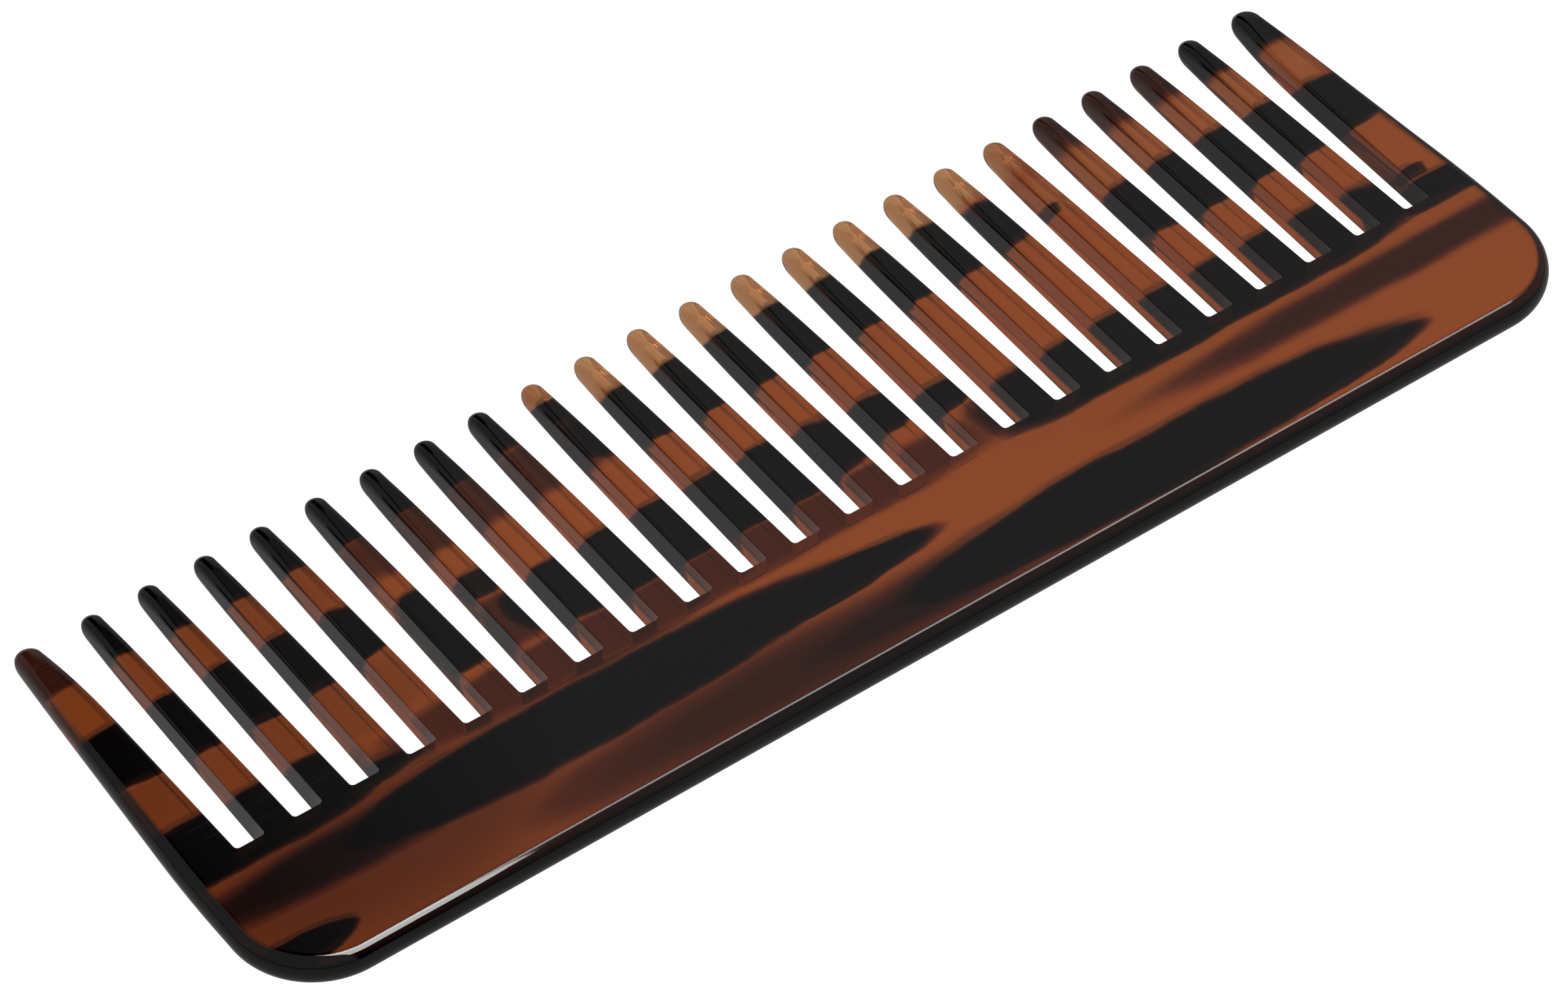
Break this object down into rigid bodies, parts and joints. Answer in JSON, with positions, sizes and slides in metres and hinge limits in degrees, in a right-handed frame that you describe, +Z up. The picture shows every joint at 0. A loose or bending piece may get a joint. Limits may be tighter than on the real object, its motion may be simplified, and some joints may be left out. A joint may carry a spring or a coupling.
{
  "type": "hair comb",
  "caption": "Flat wide-tooth dressing comb with round-edged back, two wide end teeth and long tapered teeth with round tips, in polished tortoiseshell-patterned plastic.",
  "frame": {"origin": "on the underside, at the middle of the comb's length and depth, as it lies flat", "axes": "+X along the comb, +Y towards the tooth tips, +Z up through the thickness"},
  "size_m": [0.1828, 0.0603, 0.004],
  "materials": {
    "tortoiseshell_acetate": "polished, translucent amber with soft near-black streaks along the comb"
  },
  "bodies": {
    "root": {"back": "tortoiseshell_acetate", "end_tooth_left": "tortoiseshell_acetate", "tooth_01": "tortoiseshell_acetate", "tooth_02": "tortoiseshell_acetate", "tooth_03": "tortoiseshell_acetate", "tooth_04": "tortoiseshell_acetate", "tooth_05": "tortoiseshell_acetate", "tooth_06": "tortoiseshell_acetate", "tooth_07": "tortoiseshell_acetate", "tooth_08": "tortoiseshell_acetate", "tooth_09": "tortoiseshell_acetate", "tooth_10": "tortoiseshell_acetate", "tooth_11": "tortoiseshell_acetate", "tooth_12": "tortoiseshell_acetate", "tooth_13": "tortoiseshell_acetate", "tooth_14": "tortoiseshell_acetate", "tooth_15": "tortoiseshell_acetate", "tooth_16": "tortoiseshell_acetate", "tooth_17": "tortoiseshell_acetate", "tooth_18": "tortoiseshell_acetate", "tooth_19": "tortoiseshell_acetate", "tooth_20": "tortoiseshell_acetate", "tooth_21": "tortoiseshell_acetate", "tooth_22": "tortoiseshell_acetate", "end_tooth_right": "tortoiseshell_acetate"}
  },
  "joints": []
}
